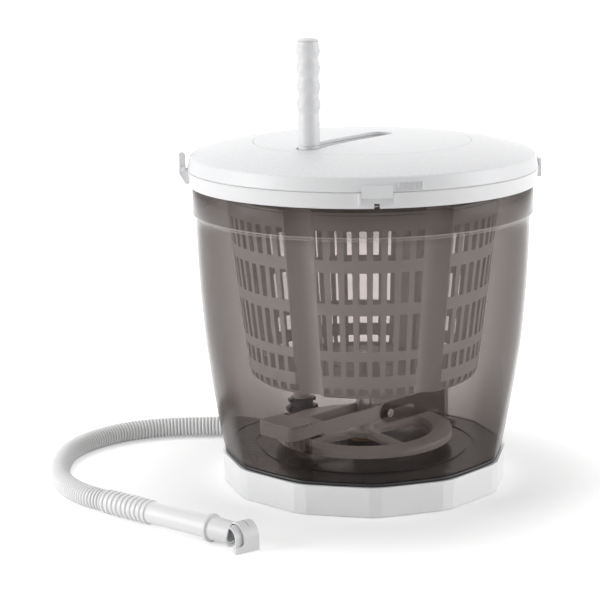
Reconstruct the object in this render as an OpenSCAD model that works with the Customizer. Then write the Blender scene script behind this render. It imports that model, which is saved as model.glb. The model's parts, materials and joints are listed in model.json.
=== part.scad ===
// Hand-cranked laundry spin dryer: smoked tub on a twelve-sided plinth, slotted
// six-lobed basket turned by a planetary crank in the lid, brake pedal and drain hose.
// Millimetres. Origin on the floor under the middle, +Z up, front catch towards -Y.

/* [Plinth] */
// How far the plinth's corners stand out from the tub's foot
plinth_step = 2; // [0:0.5:4]
// Height of the plinth
plinth_h = 31.3; // [30:0.1:34]
// Wall of the plinth skirt
plinth_wall = 3; // [2.4:0.2:3.6]
// How much smaller the plinth's corner radius is at the foot
plinth_draft = 1.4; // [0:0.2:3]
// How much is rounded off the plinth's corners
corner_cut = 1.6; // [0.6:0.2:2]
// Width of the rubber ring that the machine stands on
foot_w = 9; // [7:0.5:10]

/* [Tub] */
// Height of the black seal under the tub
seal_h = 3.7; // [3:0.1:5]
// Height of the tub from its foot to the ledge
tub_body_h = 248; // [244:1:260]
// Radius of the tub just below the ledge
tub_r = 172; // [169:0.5:173]
// How much narrower the tub is at its foot
tub_taper = 23; // [20:0.5:26]
// Wall of the tub
tub_wall = 2.6; // [2.2:0.2:3]
// Height of the straight band above the ledge
band_h = 42.3; // [40:0.1:48]
// How far the band stands out from the tub
band_step = 3.5; // [2.5:0.5:4.5]

/* [Collar and lid] */
// How far the lid and the collar stand out from the tub's band
collar_step = 4.5; // [3.5:0.5:8]
// Height of the collar
collar_h = 15.4; // [13:0.2:18]
// Wall of the collar and the lid
shell_wall = 2.4; // [2:0.2:2.8]
// Height of the lid's upright rim
rim_h = 11.7; // [10:0.1:14]
// Rise of the dome above the lid's edge
dome_rise = 15; // [13:0.5:18]
// Width of the ledge that carries the edge of the crank plate
plate_ledge = 6.7; // [5:0.1:10]
// Number of finger ribs on the lid's rim
finger_ribs = 13; // [7:1:15]

/* [Crank] */
// Distance of the grip from the middle
grip_offset = 89.4; // [86:0.1:91]
// Largest radius of the wavy grip
grip_r = 12.2; // [11:0.2:13]
// Length of the grip from its hinge pin to its cap
grip_len = 119; // [112:1:124]
// Number of finger waves on the grip
grip_waves = 4; // [3:1:5]
// Radius of the grip's hinge pin
hinge_pin_r = 2.5; // [2:0.1:3]
// Direction in which the grip folds down
crank_turn = 49.6; // [0:0.1:359.9]

/* [Gear train] */
// Teeth of the planets and of the sun
planet_teeth = 18; // [18:1:18]
// Module of the teeth
gear_module = 2.75; // [2.6:0.05:2.8]
// Thickness of the planets and of the sun
gear_t = 7; // [6:0.5:7.5]
// Play between two flanks in mesh
backlash = 0.3; // [0.2:0.05:0.4]
// Radius of a planet's post
post_r = 5; // [4:0.5:6]

/* [Basket] */
// Height of the basket's underside above the floor
basket_z = 112.5; // [111:0.5:116]
// Outer radius of the basket near its bottom
basket_r = 119; // [116:0.5:121]
// How much wider the basket is at its rim
basket_flare = 22.4; // [20:0.4:23]
// Wall of the basket
basket_wall = 2.2; // [1.8:0.2:2.6]
// Radius of the groove between two lobes
valley_r = 15; // [13:0.5:16]
// Width of a slot
slot_w = 8; // [6:0.2:8.4]
// Slots side by side on a lobe
slot_columns = 8; // [4:1:8]

/* [Drive below] */
// Radius of the steel spindle
spindle_r = 8; // [7:0.5:8]
// Distance from the brake wheel's rim to the tub's wall at its foot
wheel_gap = 53.4; // [51:0.2:56]
// Width of the wheel's flat rim
wheel_rim = 20; // [16:1:24]
// Thickness of the wheel's rim
wheel_t = 8; // [7:0.5:8.5]
// Number of spokes
wheel_spokes = 4; // [3:1:6]

/* [Pedal] */
// Direction of the pedal's arm, from its pad to its pivot
pedal_turn = 43; // [38:1:48]
// Distance from the pad to the tub's wall at its foot
pad_gap = 17.4; // [14:0.1:22]
// Length of the pad
pad_len = 33; // [28:1:36]
// Width of the pad
pad_w = 51; // [44:1:54]
// Number of ribs on the pad
pad_ribs = 7; // [5:1:8]
// Radius of the pedal's pivot pin
pivot_r = 3; // [2.5:0.1:3.5]
// How far the pedal goes down
pedal_travel = 4; // [3:0.5:4]

/* [Drain hose] */
// Outer radius of the hose over its ribs
hose_r = 11.3; // [10.5:0.1:11.4]
// Depth of the hose's ribs
hose_rib = 1.3; // [0.8:0.1:1.8]
// Bore radius of the hose
hose_bore = 9.2; // [8.6:0.1:9.2]
// Ribs between two points of the route
ribs_per_step = 5; // [3:1:6]

/* [Hidden] */

$fn = 96;
sides = 12;           // sides of the plinth and of the tub's foot
seat = 0.3;           // gap between a loose piece and what it lies on
running = 0.08;       // radial play of a turning fit
part_gap = 0.5;       // gap between pieces that move past each other
eps = 0.01;

// ---- heights, from the floor up
skirt_lift = 0.8;     // the plinth clears the floor, the feet stand on it
flange_t = 3;
tub_foot_z = plinth_h + seal_h;
floor_z = tub_foot_z;                       // top of the floor plate
ledge_h = 3;
ledge_z = tub_foot_z + tub_body_h;
tub_top_z = ledge_z + ledge_h + band_h;
band_r = tub_r + band_step;
lid_r = band_r + collar_step;
tub_inner_foot = tub_r - tub_taper - tub_wall;
plinth_r = tub_r - tub_taper + plinth_step;
split_z = tub_top_z + shell_wall;
rim_z = split_z + seat;
crease_z = rim_z + rim_h;
shoulder = 3.3;                             // rounded edge of the lid's top
dome_edge_r = lid_r - 6;
dome_edge_z = crease_z + shoulder;
dome_power = 3.4;
function dome_z(r) = dome_edge_z + dome_rise * (1 - pow(r / dome_edge_r, dome_power));

// ---- tub profile: the wall curves in towards the foot
curve_power = 1.8;
function tub_curve(t) = tub_r - tub_taper * pow(1 - t, curve_power);
tub_steps = 14;
foot_flat_h = 70;                           // height over which the twelve flats fade out

// ---- crank plate and handle
plate_t = 3;
plate_gap = 0.35;                           // play around the plate
hinge_drop = 9.9;                           // hinge pin below the dome
hinge_z = dome_z(grip_offset) - hinge_drop;
trough_r = grip_r + 0.7;
trough_wall = 2;
trough_z = hinge_z - trough_r;              // floor of the fold trough
drum_z = trough_z - trough_wall;            // underside of the drum and the trough
well_r = grip_offset + trough_r + trough_wall + 1;
plate_r = well_r + plate_ledge;
lip_r = well_r - 6;
lip_top = drum_z - part_gap;
lip_t = 2.5;
shelf_z = dome_z(plate_r) - plate_t - seat;
drum_r = lip_r - 1;                         // outside of the ring gear's body
pillar_r = 4;
pillar_ring = drum_r - 10;

// ---- gears: ring fixed to the crank, planets on posts of the lid, sun drives the basket
ring_teeth = 3 * planet_teeth;
planet_orbit = gear_module * planet_teeth;
ring_h = 11.8;
ring_wall = 4.5;
ring_top = drum_z;
ring_bottom = ring_top - ring_h;
ring_out = gear_module * (ring_teeth / 2 + 1.25) + ring_wall;
ring_web = 2.8;
flange_r = lip_r + 4;
deck_top = ring_bottom - 0.8;
deck_t = 3.4;
rim_drop = 16.6;                            // the basket's rim lies this far below the gear deck
deck_r = well_r + 12;
gear_z = deck_top + 1.5;
washer_t = 1.2;
pressure = 20;

// ---- basket and its cover
rim_top = deck_top - deck_t - rim_drop;
basket_h = rim_top - basket_z;
row_scale = basket_h / 189.5;               // the rows of slots keep their shares of the height
basket_round = 12;
flare_slope = basket_flare / basket_h;
function basket_rad(z) = basket_r + flare_slope * (z - basket_z);
flare_angle = atan(flare_slope);
valley_depth = 15;
lobes = 6;
basket_turn = -1.5;                         // how the basket happens to stand
slot_spread = 42.2;                         // angle between a lobe's first and last slots
slot_pitch = slot_spread / (slot_columns - 1);
slot_rows = [[4.9, 7.3], [25.2, 15.9], [51, 37.3], [100.4, 31.5], [144.7, 29.4]];
cover_t = 2.5;
cover_drop = 6;                             // how far the cover reaches into the basket
dog_r = 8;
hub_top = deck_top - deck_t - 2.5;

// ---- spindle, wheel and their bearing
bearing_r = 12;
boss_r = 18;
wheel_r = tub_inner_foot - wheel_gap;
boss_top = floor_z + 6;
bearing_top = boss_top + 1.3;
wheel_top = bearing_top + 1.8 + wheel_t + 0.4;
hub_r = 11;
hub_h = 17;
shoulder_r = 12;
wheel_turn = 30;

// ---- pedal: its own frame has +X from the pad to the pivot
pivot_x = 16;
pivot_z = 68.3;
arm_y = -3;                                 // middle of the arm beside the spindle
arm_w = 31;
arm_wall = 3.6;
arm_z = 62.5;
arm_h = 14.5;
pad_x = pad_gap - tub_inner_foot;
pad_y = 5;
pad_z = 66.5;
pad_h = 12.5;
pad_round = 9;
pad_rib_h = 2.5;
neck_len = 17;
cheek_t = 2.6;
cheek_r = 11;
bracket_top = basket_z - 4.5;
web_z = wheel_top + 4.5;
tower_x = wheel_r + 4.5;
tower_len = 15;
peg_x = pad_x + 26;
peg_y = -8;
peg_r = 4;
small_peg = 10;                             // the small peg stands this far from the large one
small_peg_r = 2.6;
guide_wall = 2;
guide_top = pad_z - part_gap;
shoe_x = wheel_rim / 2 - wheel_r;
shoe_t = 2.3;

// ---- plinth
foot_out = (plinth_r - plinth_draft) * cos(180 / sides) - plinth_wall - seat;
foot_mid = foot_out - foot_w / 2;
screw_ring = foot_out - 13.2;
screw_hole_r = 1.95;
gutter_r = screw_ring - 20;
gutter_w = 8;

// ---- drain
drain_cup_r = 16;
drain_r = foot_out - drain_cup_r - 12.3;
drain_at = drain_r * [cos(122.7), sin(122.7)];
spigot_turn = 135;
spigot_way = [cos(spigot_turn), sin(spigot_turn)];
spigot_z = 13;
hose_sides = 8;
spigot_pipe_r = hose_bore * cos(180 / hose_sides) - 0.2;
face_r = plinth_r * cos(180 / sides);       // from the middle to a flat of the plinth

// ---- hose: points chosen along its way over the floor
hose_points = [[-89, 123, 13], [-105, 139, 13], [-120, 151, 12.8], [-138, 159, 12.3],
    [-157, 162, 11.6], [-177, 163, 11.6], [-197, 163, 11.6], [-217, 161, 11.6],
    [-236, 156, 11.6], [-255, 148, 11.6], [-272, 137, 11.6], [-287, 123, 11.6],
    [-300, 107, 11.6], [-310, 89, 11.6], [-317, 70, 11.6], [-321, 50, 11.6],
    [-323, 30, 11.6], [-324, 10, 11.6], [-322, -10, 11.6], [-318, -30, 11.8],
    [-312, -49, 12.2], [-304, -67, 12.8], [-294, -84, 13.4], [-282, -100, 14],
    [-267, -113, 14]];
hose_gap = 4.05;                            // the hose starts this far outside the plinth's flat
spigot_reach = face_r - drain_at * spigot_way;
hose_shift = drain_at + (spigot_reach + hose_gap) * spigot_way - [hose_points[0][0], hose_points[0][1]];
hose_route = [for (p = hose_points) p + [hose_shift[0], hose_shift[1], 0]];
hose_end = hose_route[len(hose_route) - 1] - hose_route[len(hose_route) - 2];
cuff_turn = atan2(hose_end[1], hose_end[0]);
cuff_ribs = 10;
cuff_rib_step = 6.2;
cuff_ribbed = cuff_ribs * cuff_rib_step;
cuff_len = 136;
cuff_wall = 1.7;
end_len = 25;
ring_len = 6;
hook_turn = 74.9;                           // from the tube's way to the hood's
hook_half = 13.8;
hook_len = 26.9;
hook_axis = 13;
hook_lift = 0.2;
hook_wall = 1.8;
hook_lip = 7;
hook_open = 9.7;

// ======================================================= helpers
module at(angle, r, z = 0) {
    rotate([0, 0, angle]) translate([r, 0, z]) children();
}

module ring(r_out, r_in, h) {
    difference() {
        cylinder(r = r_out, h = h);
        translate([0, 0, -1]) cylinder(r = r_in, h = h + 2);
    }
}

// twelve-sided ring or plate, measured to its corners
module twelve(r_foot, r_top, h) {
    cylinder(r1 = r_foot, r2 = r_top, h = h, $fn = sides);
}

// pan-head screw standing on z = 0 with its shank below
module screw(shank_r, shank_len, head_r, head_h) {
    difference() {
        union() {
            cylinder(r = head_r, h = head_h);
            translate([0, 0, -shank_len]) cylinder(r = shank_r, h = shank_len + eps);
        }
        for (a = [0, 90]) rotate([0, 0, a])
            translate([-head_r * 0.6, -0.5, head_h * 0.45]) cube([head_r * 1.2, 1, head_h]);
    }
}

// point of an involute that starts on the base circle
function involute(base, roll) = [
    base * (cos(roll) + roll * PI / 180 * sin(roll)),
    base * (sin(roll) - roll * PI / 180 * cos(roll))];
function roll_to(base, r) = sqrt(max(0, pow(r / base, 2) - 1)) * 180 / PI;
function turned(p, a) = [p[0] * cos(a) - p[1] * sin(a), p[0] * sin(a) + p[1] * cos(a)];
inv_pressure = tan(pressure) * 180 / PI - pressure;

// one tooth: root, flank up, tip, flank down. slack widens or narrows it
function tooth(teeth, root, tip, slack) =
    let (pitch = gear_module * teeth / 2,
         base = pitch * cos(pressure),
         half = 90 / teeth + inv_pressure + slack / pitch * 90 / PI,
         low = max(root, base),
         rs = [low, (low + pitch) / 2, pitch, tip],
         up = [for (r = rs) turned(involute(base, roll_to(base, r)), -half)])
    concat([[root * cos(half), -root * sin(half)]], up,
        [for (i = [len(up) - 1 : -1 : 0]) [up[i][0], -up[i][1]]],
        [[root * cos(half), root * sin(half)]]);

module gear_outline(teeth, root, tip, slack) {
    one = tooth(teeth, root, tip, slack);
    polygon([for (k = [0 : teeth - 1], p = one) turned(p, k * 360 / teeth)]);
}

module spur(h) {
    pitch = gear_module * planet_teeth / 2;
    linear_extrude(h)
        gear_outline(planet_teeth, pitch - 1.2 * gear_module, pitch + 0.9 * gear_module, -backlash / 2);
}

// ======================================================= plinth and floor
module plinth() {
    inner = plinth_wall / cos(180 / sides);
    color("whitesmoke") difference() {
        union() {
            difference() {
                translate([0, 0, skirt_lift]) intersection() {
                    twelve(plinth_r - plinth_draft, plinth_r, plinth_h - skirt_lift);
                    cylinder(r1 = plinth_r - plinth_draft - corner_cut, r2 = plinth_r - corner_cut,
                        h = plinth_h - skirt_lift);
                }
                translate([0, 0, -1])
                    twelve(plinth_r - plinth_draft - inner, plinth_r - inner, plinth_h - flange_t + 1);
                cylinder(r = screw_ring - 11, h = plinth_h + 1);
            }
            for (k = [0 : 5]) {
                at(45 + 60 * k, screw_ring, 6) cylinder(r = 6, h = plinth_h - flange_t - 6 + eps);
                at(15 + 60 * k, foot_mid, 4) cylinder(r = foot_w / 2, h = plinth_h - flange_t - 4 + eps);
            }
        }
        for (k = [0 : 5]) at(45 + 60 * k, screw_ring, 0) cylinder(r = 2.2, h = plinth_h + 1);
        // room for the drain cup and the way out of its pipe
        translate([drain_at[0], drain_at[1], -1]) cylinder(r = drain_cup_r + 4, h = plinth_h + 2);
        spigot_frame() translate([0, 0, -1]) rotate([0, 90, 0])
            cylinder(r = spigot_pipe_r + 2.5, h = 70);
        spigot_frame() translate([0, -spigot_pipe_r - 2.5, -30])
            cube([70, 2 * spigot_pipe_r + 5, 29]);
    }
}

// frame at the drain cup, +X along the spigot, z = 0 at the pipe's middle
module spigot_frame() {
    translate([drain_at[0], drain_at[1], spigot_z]) rotate([0, 0, spigot_turn]) children();
}

module rubber_ring() {
    color("dimgray") ring(foot_out, foot_out - foot_w, 4);
}

module plinth_screws() {
    color("silver") for (k = [0 : 5])
        at(45 + 60 * k, screw_ring, 6) mirror([0, 0, 1]) screw(1.9, plinth_h - 3.5, 3.6, 2.2);
}

module floor_plate() {
    color("#33333a") difference() {
        union() {
            translate([0, 0, plinth_h])
                twelve(tub_inner_foot - 1, tub_inner_foot - 1, floor_z - plinth_h);
            cylinder(r = boss_r, h = boss_top);
            translate([0, 0, 22]) cylinder(r = boss_r, h = 12);
        }
        translate([0, 0, -1]) cylinder(r = bearing_r, h = boss_top + 2);
        translate([0, 0, -1]) cylinder(r = boss_r + 1, h = 23);
        translate([drain_at[0], drain_at[1], 20]) cylinder(r = 9, h = 20);
        for (k = [0 : 5]) at(45 + 60 * k, screw_ring, plinth_h - 1)
            cylinder(r = screw_hole_r, h = seal_h + 0.2);
        for (y = bracket_screw_y) pedal_frame() translate([bracket_screw_x, y, plinth_h + 0.4])
            cylinder(r = screw_hole_r, h = seal_h + 1);
        // shallow gutter that leads the water round to the drain
        translate([0, 0, floor_z - 1]) ring(gutter_r + gutter_w, gutter_r, 2);
    }
}

module foot_seal() {
    color("#1c1c20") translate([0, 0, plinth_h]) difference() {
        twelve(tub_r - tub_taper - 0.4, tub_r - tub_taper - 0.4, seal_h);
        translate([0, 0, -1]) twelve(tub_inner_foot - 0.9, tub_inner_foot - 0.9, seal_h + 2);
    }
}

module tub_profile(shift) {
    top = tub_top_z - tub_foot_z;
    polygon(concat(
        [[0, 0]],
        [for (i = [0 : tub_steps]) [tub_curve(i / tub_steps) - shift, tub_body_h * i / tub_steps]],
        [[band_r - shift, tub_body_h + ledge_h], [band_r - shift, top], [0, top]]));
}

// full solid of the tub, shrunk by the shift on every side
module tub_solid(shift) {
    foot = tub_r - tub_taper - shift / cos(180 / sides);
    wide = foot * 1.16;
    intersection() {
        rotate_extrude() tub_profile(shift);
        union() {
            twelve(foot, wide, foot_flat_h * 1.6);
            translate([0, 0, foot_flat_h * 1.6 - eps]) cylinder(r = band_r + 5, h = tub_body_h + ledge_h + band_h);
        }
    }
}

module tub() {
    color([0.36, 0.33, 0.32, 0.5]) translate([0, 0, tub_foot_z]) difference() {
        tub_solid(0);
        translate([0, 0, -eps]) tub_solid(tub_wall);
        translate([0, 0, tub_body_h + ledge_h]) cylinder(r = band_r - tub_wall, h = band_h + 1);
    }
}

// ======================================================= collar, catches and latch
catch_w = 30;
ear_w = 1.9;
ear_out = lid_r + 2.8;
ear_deep = 6.4;
module collar_profile() {
    foot = split_z - collar_h;
    polygon([[band_r + seat, foot], [lid_r - 1.8, foot], [lid_r - 0.3, split_z - 0.8],
        [lid_r - 1, split_z], [band_r - tub_wall - 4.2, split_z],
        [band_r - tub_wall - 4.2, foot + 3], [band_r - tub_wall - 1.8, foot + 3],
        [band_r - tub_wall - 1.8, tub_top_z], [band_r + seat, tub_top_z]]);
}

module catch_ears() {
    foot = split_z - collar_h + 3.5;
    for (s = [-1, 1]) translate([s * (catch_w / 2 + seat + ear_w / 2) - ear_w / 2, -ear_out, foot])
        cube([ear_w, ear_deep, split_z - foot]);
}

notch_w = 5.4;
latch_w = 24;
latch_x = -lid_r - 4.6;
latch_z = split_z + 1.4;
latch_pin_r = 1.1;
latch_ear = 2.5;
latch_gap = 1.35;                           // between an end of the lever and its ear
module collar() {
    foot = split_z - collar_h;
    color("whitesmoke") difference() {
        union() {
            rotate_extrude() collar_profile();
            for (a = [0, 90, 180]) rotate([0, 0, a]) catch_ears();
            // two ears that hold the latch on the -X side
            for (s = [-1, 1])
                translate([0, s * (latch_w / 2 + latch_gap + latch_ear / 2) + latch_ear / 2, 0])
                rotate([90, 0, 0]) linear_extrude(latch_ear)
                    polygon([[latch_x - 3.4, latch_z - 4], [latch_x - 3.4, latch_z + 2],
                        [latch_x - 1.6, latch_z + 3.4], [latch_x + 1.6, latch_z + 3.4],
                        [latch_x + 3.2, latch_z + 1.8], [latch_x + 3.2, split_z - 0.8],
                        [-lid_r + 5, split_z - 0.8], [-lid_r + 5, foot + 2.4],
                        [latch_x + 3.2, foot + 2.4]]);
        }
        // notch in the lower edge below each catch
        for (a = [0, 90, 180]) rotate([0, 0, a])
            translate([-notch_w / 2, -lid_r - 1, foot - 1]) cube([notch_w, collar_step + 1.6, 5.8]);
        translate([latch_x, -latch_w, latch_z]) rotate([-90, 0, 0])
            cylinder(r = latch_pin_r + 0.05, h = 2 * latch_w);
    }
}

module latch_lever() {
    color("whitesmoke") translate([latch_x, latch_w / 2, latch_z]) rotate([90, 0, 0])
        difference() {
            linear_extrude(latch_w) polygon(concat(
                [for (a = [180 : 15 : 360]) [3.2 * cos(a), 3.2 * sin(a)]],
                [[3.2, 12], [2.6, 15.6], [0.9, 17.6], [-2.4, 17.6], [-3.2, 16.8]]));
            translate([0, 0, -1]) cylinder(r = latch_pin_r + 0.1, h = latch_w + 2);
            // shallow thumb recess on the outside
            translate([-4, 5.5, 4]) cube([1.8, 8, latch_w - 8]);
        }
}

module latch_pin() {
    // both ends lie a little below the faces of the ears
    half = latch_w / 2 + latch_gap + latch_ear - 1;
    color("silver") translate([latch_x, -half, latch_z]) rotate([-90, 0, 0])
        cylinder(r = latch_pin_r, h = 2 * half);
}

// ======================================================= drain
module drain_fitting() {
    color("#3a3b42") translate([drain_at[0], drain_at[1], floor_z]) difference() {
        union() {
            cylinder(r = 15, h = 17);
            translate([0, 0, 17 - eps]) cylinder(r = 12.6, h = 9);
            for (a = [0, 90, 180, 270]) rotate([0, 0, a + 20]) {
                translate([11, -3.5, 22]) cube([4.2, 7, 4]);
                translate([13, -4.5, 12]) cube([4.2, 9, 5]);
            }
        }
        translate([0, 0, -1]) cylinder(r = 8.9, h = 40);
    }
}

module drain_stem() {
    color("lightgray") translate([drain_at[0], drain_at[1], 0]) difference() {
        union() {
            translate([0, 0, floor_z + 2]) cylinder(r = 8.3, h = 37);
            translate([0, 0, floor_z + 26.3]) cylinder(r = 10.4, h = 2.4);
            translate([0, 0, floor_z + 36]) cylinder(r = 9.6, h = 5);
        }
        translate([0, 0, floor_z]) cylinder(r = 6.4, h = 36);
        for (a = [0 : 60 : 300]) rotate([0, 0, a]) translate([0, -1.2, floor_z + 4])
            cube([12, 2.4, 14]);
    }
}

module drain_outlet() {
    color("#3a3b42") difference() {
        union() {
            translate([drain_at[0], drain_at[1], 2]) cylinder(r = drain_cup_r, h = plinth_h - 2);
            translate([drain_at[0], drain_at[1], plinth_h - 3]) cylinder(r = drain_cup_r + 3, h = 3);
            spigot_frame() rotate([0, 90, 0]) cylinder(r = spigot_pipe_r, h = spigot_reach + 20);
            spigot_frame() translate([spigot_reach + hose_gap - 3, 0, 0]) rotate([0, 90, 0])
                cylinder(r = hose_r + 0.1, h = 3);
        }
        translate([drain_at[0], drain_at[1], 4]) cylinder(r = drain_cup_r - 2, h = plinth_h);
        spigot_frame() rotate([0, 90, 0]) cylinder(r = spigot_pipe_r - 2, h = spigot_reach + 40);
    }
}

// ======================================================= spindle and brake wheel
module spindle_bearing() {
    color("tan") difference() {
        union() {
            translate([0, 0, 20]) cylinder(r = bearing_r - 0.05, h = boss_top - 20);
            translate([0, 0, boss_top]) cylinder(r = bearing_r + 3, h = bearing_top - boss_top);
        }
        cylinder(r = spindle_r + running, h = 100);
    }
}

module spindle() {
    color("silver") {
        translate([0, 0, 16]) cylinder(r = spindle_r, h = basket_z + 18 - 16);
        translate([0, 0, 16.5]) cylinder(r = spindle_r + 3, h = 3);
        translate([0, 0, basket_z - 3.5]) cylinder(r = shoulder_r, h = 3.5);
    }
}

module brake_wheel() {
    mid = wheel_top - wheel_t / 2;
    color("#cdc4c0") difference() {
        union() {
            rotate_extrude() difference() {
                translate([wheel_r - wheel_rim, wheel_top - wheel_t]) square([wheel_rim, wheel_t]);
                polygon([[wheel_r + 1, mid + 2.6], [wheel_r - 3.2, mid + 1],
                    [wheel_r - 3.2, mid - 1], [wheel_r + 1, mid - 2.6]]);
            }
            translate([0, 0, bearing_top + seat]) cylinder(r = hub_r, h = hub_h);
            translate([0, 0, wheel_top - wheel_t]) cylinder(r = hub_r + 7, h = wheel_t - 2);
            for (k = [0 : wheel_spokes - 1]) rotate([0, 0, wheel_turn + k * 360 / wheel_spokes]) {
                translate([hub_r, -7, wheel_top - wheel_t]) cube([wheel_r - wheel_rim - hub_r + 1, 14, 3]);
                translate([hub_r - 1, -1.5, wheel_top - wheel_t])
                    cube([wheel_r - wheel_rim - hub_r + 2, 3, wheel_t - 1]);
            }
        }
        cylinder(r = spindle_r + 0.04, h = 100);
    }
}

// ======================================================= pedal
bracket_screw_x = tower_x + tower_len + 6;
bracket_screw_y = [arm_y - 9, arm_y + 9];
module pedal_frame() { rotate([0, 0, pedal_turn]) children(); }

module upright(x0, z0, y, t) {
    translate([x0, y + t, z0]) rotate([90, 0, 0]) linear_extrude(t) children();
}

module pedal_plan() {
    arm_half = arm_w / 2;
    near = pad_y - pad_w / 2;
    difference() {
        polygon([[pad_x, near], [pad_x + pad_len, near],
            [pad_x + pad_len + neck_len, arm_y - arm_half], [pad_x + pad_len + neck_len, arm_y + arm_half],
            [pad_x + pad_len, near + pad_w], [pad_x, near + pad_w]]);
        for (side = [0, 1]) translate([pad_x, near + side * pad_w]) mirror([0, side]) difference() {
            translate([-1, -1]) square(pad_round + 1);
            translate([pad_round, pad_round]) circle(r = pad_round);
        }
    }
}

// two pegs reach down from the pad's top into the guide
module pedal_pegs() {
    translate([peg_x, peg_y, pad_z - 16]) cylinder(r = peg_r, h = 16 + pad_h - 1);
    translate([peg_x - small_peg, peg_y, pad_z - 8]) cylinder(r = small_peg_r, h = 8 + pad_h - 1);
}

module pedal_lever() {
    arm_half = arm_w / 2;
    arm_from = pad_x + pad_len + neck_len - 1;
    rib_step = (pad_len - 3) / (pad_ribs - 1);
    skin = 2.6;
    color("#d8cfcb") pedal_frame() difference() {
        union() {
            difference() {
                union() {
                    translate([0, 0, pad_z]) linear_extrude(pad_h) pedal_plan();
                    intersection() {
                        for (i = [0 : pad_ribs - 1])
                            translate([pad_x + 0.6 + i * rib_step, pad_y - pad_w / 2 + 2, pad_z])
                                cube([1.9, pad_w - 4, pad_h + pad_rib_h]);
                        translate([0, 0, pad_z]) linear_extrude(pad_h + pad_rib_h) pedal_plan();
                    }
                }
                // the pad is hollow below, with room for the guide when it is down
                translate([pad_x + skin, pad_y - pad_w / 2 + skin, pad_z - 1])
                    cube([pad_len + 2, pad_w - 2 * skin, pad_h - skin + 1]);
            }
            // the arm is a channel: two walls and a floor
            for (y = [arm_y - arm_half, arm_y + arm_half - arm_wall]) {
                translate([arm_from, y, arm_z]) cube([pivot_x - arm_from, arm_wall, arm_h]);
                translate([pivot_x, y, arm_z + arm_h / 2]) rotate([-90, 0, 0])
                    cylinder(r = arm_h / 2, h = arm_wall);
            }
            translate([arm_from, arm_y - arm_half, arm_z])
                cube([-spindle_r - 6 - arm_from, arm_w, arm_wall]);
            translate([pivot_x, arm_y - arm_half, pivot_z]) rotate([-90, 0, 0])
                cylinder(r = pivot_r + 2.4, h = arm_w);
            pedal_pegs();
        }
        translate([pivot_x, -40, pivot_z]) rotate([-90, 0, 0]) cylinder(r = pivot_r + running, h = 80);
    }
}

module brake_shoe() {
    color("#26262a") pedal_frame()
        translate([shoe_x - 7, arm_y - 9, arm_z - shoe_t]) cube([14, 18, shoe_t]);
}

// open-topped box round the pegs, on a flange on the floor plate
module pedal_guide() {
    x0 = peg_x - small_peg - small_peg_r - guide_wall - part_gap;
    long = peg_x + peg_r + guide_wall + 2 - x0;
    wide = 2 * (peg_r + guide_wall + 2);
    color([0.3, 0.28, 0.28, 0.7]) pedal_frame() translate([x0, peg_y - wide / 2, floor_z]) difference() {
        union() {
            cube([long, wide, guide_top - floor_z]);
            translate([-4, -4, 0]) cube([long + 8, wide + 8, 2.5]);
        }
        translate([guide_wall, guide_wall, 2.5])
            cube([long - 2 * guide_wall, wide - 2 * guide_wall, guide_top]);
    }
}

module cheek_outline() {
    union() {
        translate([pivot_x, pivot_z]) circle(r = cheek_r);
        translate([pivot_x, pivot_z - cheek_r]) square([30, 2 * cheek_r]);
        polygon([[pivot_x + 29, web_z], [pivot_x + 29, pivot_z + cheek_r],
            [pivot_x + 34, bracket_top], [tower_x + tower_len, bracket_top],
            [tower_x + tower_len, floor_z], [tower_x, floor_z], [tower_x, web_z]]);
    }
}

module pedal_bracket() {
    half = arm_w / 2 + part_gap;
    outer = half + cheek_t;
    color([0.32, 0.3, 0.29, 0.75]) pedal_frame() difference() {
        union() {
            for (y = [arm_y - outer, arm_y + half])
                upright(0, 0, y, cheek_t) cheek_outline();
            translate([tower_x + tower_len - cheek_t, arm_y - outer, floor_z])
                cube([cheek_t, 2 * outer, bracket_top - floor_z]);
            translate([pivot_x + 34, arm_y - outer, bracket_top - cheek_t])
                cube([tower_x + tower_len - pivot_x - 34, 2 * outer, cheek_t]);
            translate([tower_x, arm_y - outer, floor_z]) cube([tower_len + 13, 2 * outer, 3]);
        }
        translate([pivot_x, -60, pivot_z]) rotate([-90, 0, 0]) cylinder(r = pivot_r + 0.05, h = 120);
        for (y = bracket_screw_y) translate([bracket_screw_x, y, floor_z - 1])
            cylinder(r = 2.1, h = 10);
    }
}

module bracket_screws() {
    color("silver") pedal_frame() for (y = bracket_screw_y)
        translate([bracket_screw_x, y, floor_z + 3]) screw(1.9, seal_h + 2.4, 3.8, 2.2);
}

pin_face = arm_w / 2 + part_gap + cheek_t;
module pivot_pin() {
    color("silver") pedal_frame() translate([pivot_x, arm_y - pin_face, pivot_z]) rotate([90, 0, 0])
        screw(pivot_r, 2 * pin_face + 4.5, pivot_r + 1.4, 2.4);
}

module pivot_nut() {
    color("silver") pedal_frame() translate([pivot_x, arm_y + pin_face, pivot_z])
        rotate([-90, 0, 0]) difference() {
            cylinder(r = 5.6, h = 3.6, $fn = 6);
            translate([0, 0, -1]) cylinder(r = pivot_r + 0.03, h = 6);
        }
}

// ======================================================= basket
module basket_body(shift) {
    rise = basket_h + (shift > 0 ? 1 : 0);
    low = basket_r - shift;
    high = basket_rad(basket_z + rise) - shift;
    round_r = basket_round - shift;
    lift = shift;
    turn_in = low + flare_slope * basket_round;
    difference() {
        translate([0, 0, basket_z]) rotate_extrude() polygon(concat(
            [[0, lift], [turn_in - round_r, lift]],
            [for (a = [15 : 15 : 75]) [turn_in - round_r + round_r * sin(a),
                lift + round_r * (1 - cos(a))]],
            [[turn_in, lift + round_r], [high, rise], [0, rise]]));
        for (k = [0 : lobes - 1]) rotate([0, 0, 60 * k])
            translate([basket_r - valley_depth + valley_r, 0, basket_z])
                rotate([0, flare_angle, 0]) translate([0, 0, -20])
                    cylinder(r = valley_r + shift, h = basket_h + 60);
    }
}

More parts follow.
